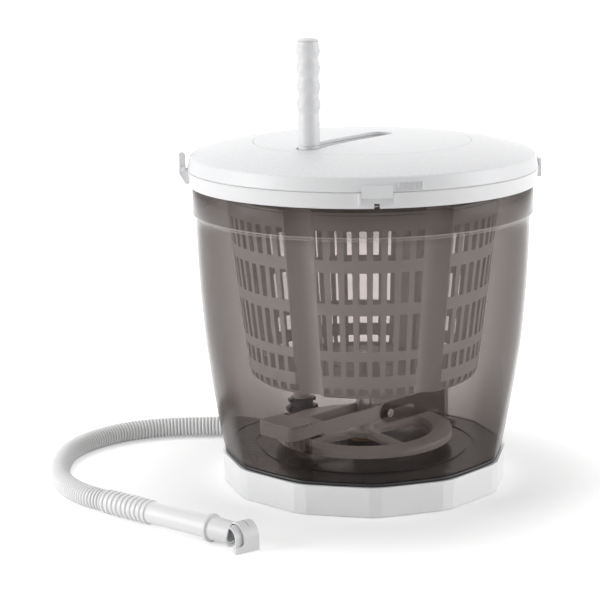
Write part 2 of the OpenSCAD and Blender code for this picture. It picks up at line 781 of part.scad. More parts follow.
module slot_bars() {
    for (c = [0 : slot_columns - 1], k = [0 : lobes - 1])
        rotate([0, 0, 60 * k + 30 + (c - (slot_columns - 1) / 2) * slot_pitch])
            for (row = slot_rows * row_scale) translate([basket_r - 20, -slot_w / 2, basket_z + row[0]])
                cube([60, slot_w, row[1]]);
}

module basket() {
    color("#ded6d2") rotate([0, 0, basket_turn]) difference() {
        union() {
            difference() {
                basket_body(0);
                basket_body(basket_wall);
                slot_bars();
            }
            translate([0, 0, basket_z]) cylinder(r = 16, h = 14);
        }
        translate([0, 0, basket_z - 1]) cylinder(r = spindle_r + 0.05, h = 40);
        for (k = [0 : lobes - 1], r = [34, 58, 82]) at(60 * k + 30, r, basket_z - 1)
            cylinder(r = 4.5, h = 5);
    }
}

module basket_nut() {
    color("silver") translate([0, 0, basket_z + 14]) {
        difference() {
            cylinder(r = 12, h = 6, $fn = 6);
            translate([0, 0, -1]) cylinder(r = spindle_r + 0.03, h = 5.5);
        }
    }
}

// six-lobed slice of the basket's form, shrunk by the shift
module basket_slice(shift, z, h) {
    intersection() {
        basket_body(shift);
        translate([0, 0, z]) cylinder(r = lid_r, h = h);
    }
}

// cover of the basket: lifts off with the lid and turns the basket by its lobes
mouth_shift = basket_wall + part_gap;
module basket_cover() {
    spoke_len = basket_rad(rim_top) - mouth_shift - valley_depth - 12;
    color("#ded6d2") rotate([0, 0, basket_turn]) difference() {
        union() {
            translate([0, 0, cover_t + part_gap]) basket_slice(0, rim_top - cover_t, cover_t);
            difference() {
                basket_slice(mouth_shift, rim_top - cover_drop, cover_drop + part_gap + eps);
                basket_body(mouth_shift + 2.2);
            }
            translate([0, 0, rim_top - 4]) cylinder(r = 13, h = hub_top - rim_top + 4);
            for (k = [0 : lobes - 1]) rotate([0, 0, 60 * k]) translate([10, -1.2, rim_top - 4])
                cube([spoke_len, 2.4, 4 + part_gap + eps]);
        }
        translate([0, 0, rim_top - 10]) cylinder(r = dog_r + 0.25, h = 40, $fn = 6);
        for (k = [0 : lobes - 1], hole = [[32, 9], [62, 13], [95, 14]])
            at(60 * k + 30, hole[0], rim_top - 1) cylinder(r = hole[1], h = 6);
    }
}

module cover_screw() {
    color("silver") translate([0, 0, rim_top - 4]) mirror([0, 0, 1]) screw(2.4, 14, dog_r + 2.5, 2.4);
}

// ======================================================= lid
dome_steps = 12;
function dome_points(r0, r1, drop) = [for (i = [0 : dome_steps])
    let (r = r0 + (r1 - r0) * i / dome_steps) [r, dome_z(r) - drop]];
seat_r = plate_r + plate_gap;

module lid_profile() {
    edge = lid_r - 2.6;
    polygon(concat(
        [[lid_r - 1, rim_z], [lid_r - 0.2, rim_z + 1], [edge, crease_z]],
        [for (a = [30, 60]) [dome_edge_r + (edge - dome_edge_r) * cos(a), crease_z + shoulder * sin(a)]],
        dome_points(dome_edge_r, seat_r, 0),
        [[seat_r, shelf_z], [well_r, shelf_z], [well_r, lip_top], [lip_r, lip_top],
            [lip_r, lip_top - lip_t], [well_r, lip_top - lip_t], [well_r, deck_top],
            [well_r + 2, deck_top], [well_r + 2, shelf_z - shell_wall],
            [seat_r + 2, shelf_z - shell_wall]],
        dome_points(seat_r + 2, dome_edge_r - 2, shell_wall),
        [[edge - shell_wall, crease_z - 1], [lid_r - 0.2 - shell_wall, rim_z]]));
}

module lid_shell() {
    color("whitesmoke") difference() {
        union() {
            rotate_extrude() lid_profile();
            // locating skirt inside the collar
            translate([0, 0, rim_z - 6]) ring(band_r - tub_wall - 4.7, band_r - tub_wall - 6.7, 15);
            for (k = [0 : 11]) rotate([0, 0, 30 * k + 15]) translate([band_r - tub_wall - 6, -1, rim_z + 6])
                cube([4, 2, 8]);
            // upper halves of the catches hang over the split
            for (a = [0, 90, 180]) rotate([0, 0, a]) {
                translate([-catch_w / 2, -ear_out, split_z - 5]) cube([catch_w, 2, rim_h]);
                translate([-catch_w / 2 + 2, -ear_out, rim_z]) cube([catch_w - 4, 6, rim_h - 6]);
            }
            // fine ribs for the fingers beside the front catch
            for (i = [0 : finger_ribs - 1]) at(-90 + 6.6 + i * 0.62, lid_r - 2.4, rim_z + 0.3)
                translate([0, -0.4, 0]) cube([2.5, 0.8, rim_h - 3]);
            for (k = [0 : 5]) at(60 * k + 30, well_r + 6, deck_top)
                cylinder(r = 4.5, h = shelf_z - 1 - deck_top);
        }
        for (k = [0 : 5]) at(60 * k + 30, well_r + 6, deck_top - 1) cylinder(r = 1.9, h = 12);
    }
}

module gear_deck() {
    color("lightgray") difference() {
        union() {
            translate([0, 0, deck_top - deck_t]) cylinder(r = deck_r, h = deck_t);
            for (k = [0 : 2]) at(120 * k + 90, planet_orbit, deck_top - eps) {
                cylinder(r = post_r + 3, h = gear_z - seat - deck_top);
                cylinder(r = post_r, h = gear_z + gear_t + 0.2 - deck_top);
            }
            cylinder_at_deck();
        }
        translate([0, 0, deck_top - 20]) cylinder(r = sun_shaft_r + running, h = 30);
        for (k = [0 : 5]) at(60 * k + 30, well_r + 6, deck_top - 10) cylinder(r = 2.1, h = 12);
        for (k = [0 : 2]) at(120 * k + 90, planet_orbit, deck_top) cylinder(r = 1.55, h = 12);
    }
}
sun_shaft_r = 11;
module cylinder_at_deck() {
    translate([0, 0, deck_top - eps]) cylinder(r = sun_shaft_r + 5, h = gear_z - seat - deck_top);
}

module deck_screws() {
    color("silver") for (k = [0 : 5])
        at(60 * k + 30, well_r + 6, deck_top - deck_t) mirror([0, 0, 1]) screw(1.8, deck_t + 9, 3.6, 2);
}

module planet_gear() {
    difference() {
        spur(gear_t);
        translate([0, 0, -1]) cylinder(r = post_r + running, h = gear_t + 2);
        for (a = [0 : 60 : 300]) at(a, 14, -1) cylinder(r = 3.4, h = gear_t + 2);
    }
}

// a planet stands with one tooth in a gap of the sun and the opposite one in a gap of the ring
module planet_at(k) {
    color("lightgray") at(120 * k + 90, planet_orbit, gear_z) rotate([0, 0, 180]) planet_gear();
}
module planet_gear_a() { planet_at(0); }
module planet_gear_b() { planet_at(1); }
module planet_gear_c() { planet_at(2); }

module planet_screws() {
    color("silver") for (k = [0 : 2])
        at(120 * k + 90, planet_orbit, gear_z + gear_t + 0.2) screw(1.5, 7.5, post_r + 2.4, 1.6);
}

module sun_gear() {
    clip_z = deck_top - deck_t - 0.3;
    color("lightgray") difference() {
        union() {
            translate([0, 0, gear_z]) spur(gear_t);
            translate([0, 0, clip_z - 2]) cylinder(r = sun_shaft_r, h = gear_z - clip_z + 2 + eps);
            translate([0, 0, rim_top - 3.5]) rotate([0, 0, basket_turn])
                cylinder(r = dog_r, h = clip_z - rim_top + 3.5, $fn = 6);
        }
        translate([0, 0, rim_top - 5]) cylinder(r = 2.45, h = 17);
        translate([0, 0, clip_z - 1.3]) ring(sun_shaft_r + 1, sun_shaft_r - 1.2, 1.3);
    }
}

module sun_clip() {
    clip_z = deck_top - deck_t - 0.3;
    color("silver") translate([0, 0, clip_z - 1.2]) difference() {
        ring(sun_shaft_r + 2.6, sun_shaft_r - 1.1, 1.1);
        translate([0, -3.5, -1]) cube([30, 7, 4]);
    }
}

// ======================================================= crank
// frame of the crank: +X is the way the grip folds down, the hinge lies at -grip_offset
module crank_frame() { rotate([0, 0, crank_turn]) children(); }

hinge_at = [-grip_offset, 0, hinge_z];
fold_len = grip_len + 3;                    // room in the trough past the hinge
scoop_len = 46;                             // where the trough's floor comes up to the dome

module trough_body(shift) {
    r = trough_r + shift;
    translate([-grip_offset, 0, trough_z - shift]) cylinder(r = r, h = 60);
    translate([-grip_offset, -r, trough_z - shift]) cube([fold_len, 2 * r, 60]);
    translate([-grip_offset + fold_len, 0, trough_z - shift]) cylinder(r = r, h = 60);
}

module crank_plate() {
    pin_reach = trough_r + trough_wall;
    color("whitesmoke") difference() {
        union() {
            rotate_extrude() polygon(concat(dome_points(plate_r, 0, 0), dome_points(0, plate_r, plate_t)));
            translate([0, 0, drum_z]) ring(drum_r, drum_r - 2.4, shelf_z - drum_z + 1);
            for (k = [0 : 5]) crank_frame() at(60 * k + 30, pillar_ring, drum_z)
                cylinder(r = pillar_r, h = dome_z(pillar_ring) - plate_t / 2 - drum_z);
            crank_frame() intersection() {
                trough_body(trough_wall);
                translate([0, 0, drum_z]) cylinder(r = well_r - 1, h = dome_z(plate_r) - drum_z - 2);
            }
            crank_frame() intersection() {
                trough_body(trough_wall);
                translate([0, 0, drum_z]) cylinder(r = grip_offset - 2, h = dome_z(grip_offset) - drum_z - 2);
            }
        }
        crank_frame() trough_body(0);
        // the scoop beyond the folded grip rises to the dome
        crank_frame() translate([-grip_offset + fold_len, 0, dome_z(0) + 34]) rotate([0, 84, 0])
            translate([0, 0, -4]) cylinder(r = 36, h = scoop_len);
        crank_frame() translate([hinge_at[0], -pin_reach - 1, hinge_z]) rotate([-90, 0, 0])
            cylinder(r = hinge_pin_r + 0.03, h = 2 * pin_reach + 2);
        for (k = [0 : 5]) crank_frame() at(60 * k + 30, pillar_ring, drum_z - 1)
            cylinder(r = 1.6, h = 12);
    }
}

module ring_gear() {
    tip = gear_module * (ring_teeth / 2 - 0.8);
    root = gear_module * (ring_teeth / 2 + 1.2);
    color("lightgray") crank_frame() difference() {
        rotate_extrude() polygon([[tip - 2, ring_bottom], [ring_out, ring_bottom],
            [ring_out, ring_top - ring_web], [drum_r - 3, ring_top - ring_web],
            [drum_r - 3, ring_bottom + 1.4], [flange_r, ring_bottom + 1.4],
            [flange_r, lip_top - lip_t - seat], [drum_r, lip_top - lip_t - seat],
            [drum_r, ring_top], [tip - 2, ring_top]]);
        translate([0, 0, ring_bottom - 1]) linear_extrude(ring_h + 2) rotate([0, 0, 90 - crank_turn])
            gear_outline(ring_teeth, tip, root, backlash / 2);
        for (k = [0 : 5]) at(60 * k + 30, pillar_ring, ring_bottom) cylinder(r = 1.8, h = 20);
    }
}

module ring_screws() {
    color("silver") crank_frame() for (k = [0 : 5])
        at(60 * k + 30, pillar_ring, ring_top - ring_web) mirror([0, 0, 1])
            screw(1.5, ring_web + 9, 3, 1.8);
}

module hinge_pin() {
    reach = trough_r + trough_wall;
    color("silver") crank_frame() translate([hinge_at[0], -reach, hinge_z]) rotate([-90, 0, 0])
        cylinder(r = hinge_pin_r, h = 2 * reach);
}

eye_r = 9.6;
sleeve_z = 13;                              // the sleeve starts this far above the pin
sleeve_top = grip_len - 4.2;
spindle_pin_r = 5;
module grip_arm() {
    color("whitesmoke") crank_frame() translate(hinge_at) difference() {
        union() {
            intersection() {
                rotate([90, 0, 0]) translate([0, 0, -grip_r]) cylinder(r = eye_r, h = 2 * grip_r);
                cylinder(r = grip_r - 0.8, h = 40, center = true);
                sphere(r = grip_r);
            }
            cylinder(r = grip_r - 1.6, h = sleeve_z - seat);
            cylinder(r = spindle_pin_r, h = sleeve_top + seat);
        }
        rotate([90, 0, 0]) cylinder(r = hinge_pin_r + running, h = 40, center = true);
        translate([0, 0, sleeve_top - 12]) cylinder(r = 1.6, h = 20);
    }
}

wave_steps = 12;
foot_len = 31;                              // smooth lower part of the sleeve
module grip_sleeve() {
    wave_len = (sleeve_top - sleeve_z - foot_len) / grip_waves;
    color("whitesmoke") crank_frame() translate(hinge_at) rotate_extrude() polygon(concat(
        [[spindle_pin_r + running, sleeve_z], [grip_r - 1.4, sleeve_z],
            [grip_r - 1.1, sleeve_z + foot_len * 0.7]],
        [for (i = [0 : grip_waves * wave_steps]) [
            grip_r - 0.9 - 0.9 * cos(360 * i / wave_steps),
            sleeve_z + foot_len + wave_len * i / wave_steps]],
        [[spindle_pin_r + running, sleeve_top]]));
}

module grip_cap() {
    top = grip_len - sleeve_top - seat;
    color("whitesmoke") crank_frame() translate(hinge_at) translate([0, 0, sleeve_top + seat])
        rotate_extrude() polygon(concat([[0, 0], [grip_r - 1.8, 0]],
            [for (a = [0 : 15 : 75]) [(grip_r - 1.8) * cos(a), 0.8 + (top - 0.8) * sin(a)]],
            [[0, top]]));
    color("whitesmoke") crank_frame() translate(hinge_at)
        translate([0, 0, sleeve_top - 9]) cylinder(r = 1.5, h = 9 + seat + eps);
}

// ======================================================= drain hose
function spline(a, b, c, d, t) =
    0.5 * (2 * b + (c - a) * t + (2 * a - 5 * b + 4 * c - d) * t * t
        + (3 * b - a - 3 * c + d) * t * t * t);
function slope(a, b, c, d, t) =
    0.5 * ((c - a) + 2 * (2 * a - 5 * b + 4 * c - d) * t + 3 * (3 * b - a - 3 * c + d) * t * t);
last = len(hose_route) - 1;
function route(i) = i < 0 ? 2 * hose_route[0] - hose_route[1]
    : i > last ? 2 * hose_route[last] - hose_route[last - 1] : hose_route[i];
function hose_at(s) = let (i = min(floor(s), last - 1))
    spline(route(i - 1), route(i), route(i + 1), route(i + 2), s - i);
function hose_way(s) = let (i = min(floor(s), last - 1))
    slope(route(i - 1), route(i), route(i + 1), route(i + 2), s - i);
// one ring of the hose, square to its way over the floor
function hose_ring(s, r) = let (p = hose_at(s), w = hose_way(s), n = norm([w[0], w[1]]))
    [for (k = [0 : hose_sides - 1]) let (a = 360 * (k + 0.5) / hose_sides)
        p + r * [-w[1] / n * cos(a), w[0] / n * cos(a), sin(a)]];
function rows_of(a, b) = [for (k = [0 : hose_sides - 1]) let (n = (k + 1) % hose_sides)
    each [[a + k, b + n, a + n], [a + k, b + k, b + n]]];

module drain_hose() {
    ribs = last * ribs_per_step;
    crest = hose_r;
    root = hose_r - hose_rib;
    // along the outside every rib has a root ring and a crest ring
    outside = [for (i = [0 : 2 * ribs]) each hose_ring(i / (2 * ribs_per_step), i % 2 == 0 ? root : crest)];
    inside = [for (i = [last : -1 : 0]) each hose_ring(i, hose_bore)];
    outer_rings = 2 * ribs + 1;
    rings = outer_rings + last + 1;
    color("gainsboro") polyhedron(
        points = concat(outside, inside),
        faces = [for (i = [0 : rings - 1])
            each rows_of(i * hose_sides, ((i + 1) % rings) * hose_sides)]);
}

// frame at the cuff, +X along its axis
module cuff_frame() {
    translate(hose_route[last]) rotate([0, 0, cuff_turn]) rotate([0, 90, 0]) children();
}

module hose_clamp() {
    reach = 12;
    start = hose_route[0];
    color("silver") translate([start[0], start[1], start[2]]) rotate([0, 0, spigot_turn])
        translate([reach - 4, 0, 0]) rotate([0, 90, 0]) ring(hose_r + 1.3, hose_r + 0.3, 8);
}

module hose_cuff() {
    half = cuff_rib_step / 2;
    body_r = hose_r - 0.5;
    color("gainsboro") cuff_frame() rotate_extrude() polygon(concat(
        [[hose_bore, 0], [body_r, 0]],
        [for (i = [0 : cuff_ribs - 1]) each [[body_r + 0.2, half * 2 * i + 0.8],
            [body_r + 1.5, half * 2 * i + 1.9], [body_r + 1.5, half * 2 * i + 4.3],
            [body_r + 0.2, half * 2 * i + 5.4]]],
        [[body_r, cuff_ribbed + 0.4], [body_r + 0.2, cuff_len], [hose_bore, cuff_len]]));
}

module cuff_ring() {
    color("whitesmoke") cuff_frame() translate([0, 0, cuff_len]) rotate_extrude()
        polygon([[hose_bore, 0], [hose_r + 1.6, 0], [hose_r + 2.5, 1.2],
            [hose_r + 2.5, ring_len - 1.6], [hose_r + 0.8, ring_len], [hose_bore, ring_len]]);
}

module end_tube() {
    color("whitesmoke") cuff_frame() translate([0, 0, cuff_len + ring_len]) difference() {
        rotate_extrude() polygon([[hose_bore, 0], [hose_r + 0.4, 0], [hose_r - 0.6, end_len],
            [hose_bore, end_len]]);
        // slanted mouth
        translate([0, 0, end_len + 8]) rotate([0, 18, 0]) cube([60, 60, 16], center = true);
    }
}

// hook over the mouth of the end tube: a hood like an upturned gutter that lies square to
// the tube. Its own frame has +X along the hood and +Y from its near wall to the tube
hook_at = cuff_len + ring_len + end_len;
module hook_frame() {
    translate([hose_route[last][0], hose_route[last][1], 0]) rotate([0, 0, cuff_turn])
        translate([hook_at, 0, 0]) rotate([0, 0, hook_turn]) translate([-12.2, -20.2, 0]) children();
}

// upturned gutter with legs down to the floor, outer half width r
module hood(r, wall, length) {
    rotate([90, 0, 90]) linear_extrude(length) difference() {
        union() {
            translate([hook_half, hook_axis]) circle(r = r);
            translate([hook_half - r, hook_lift]) square([2 * r, hook_axis - hook_lift]);
        }
        translate([hook_half, hook_axis]) circle(r = r - wall);
        translate([hook_half - r + wall, hook_lift - 1]) square([2 * (r - wall), hook_axis - hook_lift + 1]);
    }
}

module hose_hook() {
    inner = hook_half - hook_wall - 1;
    color("whitesmoke") difference() {
        hook_frame() difference() {
            union() {
                difference() {
                    hood(hook_half, hook_wall, hook_len);
                    // the outer skin is open at the near end, above its lower lip
                    translate([-1, -1, hook_lip + 3]) cube([hook_open + 1, 40, 30]);
                    translate([-1, -1, hook_lip]) cube([hook_open - 2, 40, 30]);
                    translate([hook_open - 3, -1, hook_lip + 3]) rotate([-90, 0, 0]) cylinder(r = 3, h = 40);
                    translate([18, -1, 23]) cube([0.8, 40, 10]);
                }
                translate([2, 0, 0]) hood(inner, 1.5, hook_len - 2);
                // the two skins meet at the lower lip and at the far end
                translate([0, 0.2, hook_lift]) cube([hook_open, 4, hook_lip - hook_lift - 1]);
                translate([hook_len - 3, 0, 0]) hood(hook_half - 0.1, hook_wall + 2, 3);
            }
            // the far half begins beside the tube
            translate([-1, hook_half, -1]) cube([9, 40, 50]);
        }
        // the end tube comes in through the far wall
        cuff_frame() cylinder(r = hose_r + 0.45, h = hook_at + 0.05);
    }
}

plinth();
rubber_ring();
plinth_screws();
floor_plate();
foot_seal();
tub();
collar();
latch_lever();
latch_pin();
drain_fitting();
drain_stem();
drain_outlet();
spindle_bearing();
pedal_guide();
pedal_bracket();
bracket_screws();
pivot_pin();
pivot_nut();
pedal_lever();
brake_shoe();
spindle();
brake_wheel();
basket();
basket_nut();
basket_cover();
cover_screw();
lid_shell();
gear_deck();
deck_screws();
planet_gear_a();
planet_gear_b();
planet_gear_c();
planet_screws();
sun_gear();
sun_clip();
crank_plate();
ring_gear();
ring_screws();
hinge_pin();
grip_arm();
grip_sleeve();
grip_cap();
drain_hose();
hose_clamp();
hose_cuff();
cuff_ring();
end_tube();
hose_hook();
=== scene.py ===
# %% [markdown]
# # A hand-cranked spin dryer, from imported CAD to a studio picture
# They already have the right size and place, so this lesson gives each of them a finish,
# makes the few pieces that solid modelling does badly, such as a ribbed hose, and sets up a
# plain photo studio round them.

# %% Load the frame
import json
import math
import bmesh
import bpy
from mathutils import Matrix, Vector


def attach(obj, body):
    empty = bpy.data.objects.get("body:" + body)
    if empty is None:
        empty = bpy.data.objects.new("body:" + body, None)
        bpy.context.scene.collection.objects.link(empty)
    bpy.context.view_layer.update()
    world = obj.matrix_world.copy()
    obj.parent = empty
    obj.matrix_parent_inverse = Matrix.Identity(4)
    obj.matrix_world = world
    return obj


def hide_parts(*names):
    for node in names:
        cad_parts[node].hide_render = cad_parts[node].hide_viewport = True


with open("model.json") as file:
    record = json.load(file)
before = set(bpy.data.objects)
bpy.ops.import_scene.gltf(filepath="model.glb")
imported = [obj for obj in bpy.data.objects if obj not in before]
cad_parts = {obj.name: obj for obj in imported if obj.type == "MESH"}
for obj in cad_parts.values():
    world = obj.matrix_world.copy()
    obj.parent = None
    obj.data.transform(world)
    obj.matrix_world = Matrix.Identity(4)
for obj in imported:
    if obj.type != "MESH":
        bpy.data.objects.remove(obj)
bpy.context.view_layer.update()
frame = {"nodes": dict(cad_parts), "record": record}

SCENE = bpy.context.scene
SCENE.view_settings.view_transform = "Standard"

# %% [markdown]
# ## The camera
# The picture was taken from about two metres with a long lens, a little above the lid, so
# that the lid's rim is a flat ellipse. A camera placed by four turns, each with a meaning,
# is easier to correct than one placed by a matrix of numbers.

# %% Place the camera
CAM_DISTANCE, CAM_HEIGHT = 1.988457, 0.616461
CAM_YAW = math.radians(4.4)      # how far the camera stands round to the left
CAM_DOWN, CAM_PAN, CAM_ROLL = 0.2112, 0.0331, 0.0129
LENS_PIXELS, FRAME_PIXELS, SENSOR = 1947.135, 600, 36.0


def turn(angle, axis):
    return Matrix.Rotation(angle, 4, axis)


camera = bpy.data.objects.new("studio_camera", bpy.data.cameras.new("studio_camera"))
SCENE.collection.objects.link(camera)
SCENE.camera = camera
camera.data.sensor_width = SENSOR
camera.data.lens = LENS_PIXELS * SENSOR / FRAME_PIXELS
camera.matrix_world = (turn(-CAM_YAW, "Z") @ Matrix.Translation((0, -CAM_DISTANCE, CAM_HEIGHT))
                       @ turn(CAM_PAN, "Z") @ turn(math.pi / 2 - CAM_DOWN, "X")
                       @ turn(-CAM_ROLL, "Z"))
print("lens", round(camera.data.lens, 1), "mm")

# %% [markdown]
# ## Sums on sockets
# A finish is a small program made of nodes. Python's own + - * / can write it, if a socket is
# wrapped in a class that adds a Math node for each operator. One method adds any other node.


# %% A socket that can be used in sums
class Wire:
    """One output socket, or a number, that takes part in Python sums."""

    def __init__(self, finish, socket):
        self.finish, self.socket = finish, socket

    def math(self, operation, other=None, swap=False, clamp=False):
        pair = (other, self) if swap else (self, other)
        values = {i: v for i, v in enumerate(pair) if v is not None}
        return self.finish.node("Math", {"operation": operation, "use_clamp": clamp}, values)

    def __add__(self, other): return self.math("ADD", other)
    def __radd__(self, other): return self.math("ADD", other, swap=True)
    def __sub__(self, other): return self.math("SUBTRACT", other)
    def __rsub__(self, other): return self.math("SUBTRACT", other, swap=True)
    def __mul__(self, other): return self.math("MULTIPLY", other)
    def __rmul__(self, other): return self.math("MULTIPLY", other, swap=True)
    def __truediv__(self, other): return self.math("DIVIDE", other)
    def __pow__(self, other): return self.math("POWER", other)
    def clamped(self): return self.math("ADD", 0.0, clamp=True)
    def distance(self, other): return (self - other).math("ABSOLUTE")

    def eased(self, low, high):
        """0 below low, 1 above high and a smooth ramp between them."""
        t = ((self - low) / (high - low)).clamped()
        return t * t * (3.0 - 2.0 * t)


# %% A finish, and the one method that adds its nodes
MIX_FACTOR, MIX_A, MIX_B = 0, 6, 7   # the inputs of a Mix node that mixes colours
MIX_COLOR_OUT = 2                    # and its colour result


class Finish:
    """A material whose constants sit on its shader and whose pattern is made of nodes."""

    def __init__(self, name, **constants):
        self.material = bpy.data.materials.new(name)
        self.material.use_nodes = True
        self.tree = self.material.node_tree
        self.shader = self.tree.nodes["Principled BSDF"]
        for socket, value in constants.items():
            self.shader.inputs[socket.replace("_", " ")].default_value = value

    def node(self, kind, settings=None, values=None, out=0):
        made = self.tree.nodes.new("ShaderNode" + kind)
        for key, value in (settings or {}).items():
            setattr(made, key, value)
        for key, value in (values or {}).items():
            if isinstance(value, Wire):
                self.tree.links.new(value.socket, made.inputs[key])
            else:
                made.inputs[key].default_value = value
        return Wire(self, made.outputs[out])

    def feed(self, socket, wire):
        self.tree.links.new(wire.socket, self.shader.inputs[socket])

    def place(self, scale=(1, 1, 1)):
        spot = self.node("TexCoord", out="Object")
        return self.node("Mapping", {}, {"Vector": spot, "Scale": scale})

    def noise(self, scale, detail=3.0, rough=0.5, stretch=(1, 1, 1)):
        return self.node("TexNoise", {}, {"Vector": self.place(stretch), "Scale": scale,
                                          "Detail": detail, "Roughness": rough}, out="Fac")

    def height(self):
        """The Z of each point."""
        return self.node("SeparateXYZ", {}, {"Vector": self.place()}, out="Z")

    def mix(self, factor, a, b):
        """Colour a where the factor is 0, colour b where it is 1."""
        return self.node("Mix", {"data_type": "RGBA"},
                         {MIX_FACTOR: factor, MIX_A: a, MIX_B: b}, out=MIX_COLOR_OUT)

    def bump(self, height, depth, strength=1.0):
        normal = self.node("Bump", {}, {"Height": height, "Distance": depth, "Strength": strength})
        self.feed("Normal", normal)


def rgb(r, g, b):
    return (r, g, b, 1.0)


print("helpers ready")

# %% [markdown]
# ## The studio
# A white cyclorama: the floor is pale and plain, and the world is white where the camera, a
# reflection or a view through the smoked wall meets it. The light on the machine is softer
# than that: a broad lamp above, one at each side and a weak one behind, which leave the front
# a shade darker.

# %% The white world
WORLD_LIGHT, WORLD_SEEN = 0.35, 1.0
WHITE, BLACK = rgb(1, 1, 1), rgb(0, 0, 0)
RAYS_THAT_SEE = ("Is Camera Ray", "Is Glossy Ray", "Is Transmission Ray")
world = bpy.data.worlds.new("studio_world")
SCENE.world = world
world.use_nodes = True
w_tree = world.node_tree
w_tree.nodes.clear()


def world_node(kind, *feeds):
    """A node of the world whose first inputs are fed by the given outputs."""
    made = w_tree.nodes.new("ShaderNode" + kind)
    for socket, source in zip(made.inputs, feeds):
        w_tree.links.new(source, socket)
    return made


path = world_node("LightPath").outputs
seen = path[RAYS_THAT_SEE[0]]
for ray in RAYS_THAT_SEE[1:]:
    either = world_node("Math", seen, path[ray])
    either.operation = "MAXIMUM"
    seen = either.outputs[0]
skies = []
for strength in (WORLD_LIGHT, WORLD_SEEN):
    sky = world_node("Background")
    sky.inputs["Color"].default_value, sky.inputs["Strength"].default_value = WHITE, strength
    skies.append(sky.outputs[0])
world_node("OutputWorld", world_node("MixShader", seen, *skies).outputs[0])
print("world light", WORLD_LIGHT)


# %% The lamps
def softbox(name, spot, aim, size, watts):
    lamp = bpy.data.objects.new(name, bpy.data.lights.new(name, "AREA"))
    SCENE.collection.objects.link(lamp)
    lamp.data.shape, lamp.data.size, lamp.data.size_y = "RECTANGLE", size[0], size[1]
    lamp.data.energy = watts
    lamp.location = spot
    lamp.rotation_euler = (Vector(aim) - Vector(spot)).to_track_quat("-Z", "Y").to_euler()


MIDDLE = (0, 0, 0.2)
softbox("lamp_above", (-0.2, 0.4, 2.2), MIDDLE, (1.8, 1.8), 18)
softbox("lamp_left", (-2.6, -0.6, 0.7), MIDDLE, (1.4, 1.6), 45)
softbox("lamp_right", (2.6, -0.6, 0.65), MIDDLE, (1.4, 1.6), 39)
softbox("lamp_behind", (0.2, 2.6, 0.9), MIDDLE, (2.6, 1.4), 19)

# %% The paper floor
# Close to the machine the floor is lit paper, so it keeps the shadow. Further out it turns
# to plain white for the camera and for reflections, and so it meets the white world with no
# line. LIT_PAPER and WHITE_PAPER are the radii where that change starts and ends.
NEAR_LIFT, LIT_PAPER, WHITE_PAPER = 0.22, 0.16, 0.52
FLOOR_HALF = 9.0
PAPER, PALER_PAPER = rgb(0.90, 0.90, 0.90), rgb(0.91, 0.91, 0.91)
floor_mesh = bmesh.new()
bmesh.ops.create_grid(floor_mesh, x_segments=4, y_segments=4, size=FLOOR_HALF)
floor_data = bpy.data.meshes.new("studio_floor")
floor_mesh.to_mesh(floor_data)
floor_mesh.free()
floor = bpy.data.objects.new("studio_floor", floor_data)
SCENE.collection.objects.link(floor)
floor_finish = Finish("floor_paper", Roughness=0.9, Specular_IOR_Level=0.0)
paper = floor_finish.noise(30.0, 2.0)
floor_finish.feed("Base Color", floor_finish.mix(paper, PAPER, PALER_PAPER))
on_camera, in_gloss, through_glass = [floor_finish.node("LightPath", out=ray)
                                      for ray in RAYS_THAT_SEE]
on_view = (on_camera + in_gloss + through_glass).clamped()
from_middle = floor_finish.node("VectorMath", {"operation": "LENGTH"}, {0: floor_finish.place()},
                                out="Value")
far = from_middle.eased(LIT_PAPER, WHITE_PAPER)
lift = on_view * (NEAR_LIFT + far * (1 - NEAR_LIFT))
floor_finish.feed("Emission Color", floor_finish.mix(lift, BLACK, WHITE))
floor_finish.shader.inputs["Emission Strength"].default_value = 1.0
floor_data.materials.append(floor_finish.material)
print("studio ready")

# %% [markdown]
# ## The drain hose
# A corrugated hose is a row of rings. The easiest way is to spin one long ribbed profile
# round the X axis and then lay that straight hose along its route, so that each vertex keeps
# its distance from the centre line. The route follows the solid hose, and bends out up to a
# millimetre less where it is furthest to the left.

# %% The hose's route and its length
HOSE_ROUTE = [(-89, 123, 13), (-105, 139, 13), (-120, 151, 12.8), (-138, 159, 12.3),
              (-157, 162, 11.6), (-177, 163, 11.6), (-197, 163, 11.6), (-217, 161, 11.6),
              (-236, 156, 11.6), (-255, 148, 11.6), (-272, 137, 11.6), (-287, 123, 11.6),
              (-300, 107, 11.6), (-310, 89, 11.6), (-317, 70, 11.6), (-320.5, 50, 11.6),
              (-322.2, 30, 11.6), (-322.9, 10, 11.6), (-321.4, -10, 11.6), (-318, -30, 11.8),
              (-312, -49, 12.2), (-304, -67, 12.8), (-294, -84, 13.4), (-282, -100, 14),
              (-267, -113, 14)]
STEPS_BETWEEN = 12


def smooth_way(points):
    """Close points on a smooth curve through the given ones (Catmull-Rom)."""
    ends = [2 * points[0] - points[1]] + points + [2 * points[-1] - points[-2]]
    way = []
    for a, b, c, d in zip(ends, ends[1:], ends[2:], ends[3:]):
        for i in range(STEPS_BETWEEN):
            t = i / STEPS_BETWEEN
            way.append(0.5 * (2 * b + (c - a) * t + (2 * a - 5 * b + 4 * c - d) * t ** 2
                              + (3 * b - a - 3 * c + d) * t ** 3))
    return way + [points[-1]]


hose_way = smooth_way([Vector(p) / 1000 for p in HOSE_ROUTE])
hose_marks = [0.0]
for a, b in zip(hose_way, hose_way[1:]):
    hose_marks.append(hose_marks[-1] + (b - a).length)
HOSE_LENGTH = hose_marks[-1]
print("hose length", round(HOSE_LENGTH, 4), "m")


# %% Spin the ribbed hose and lay it along the route
SAME_POINT = 1e-6


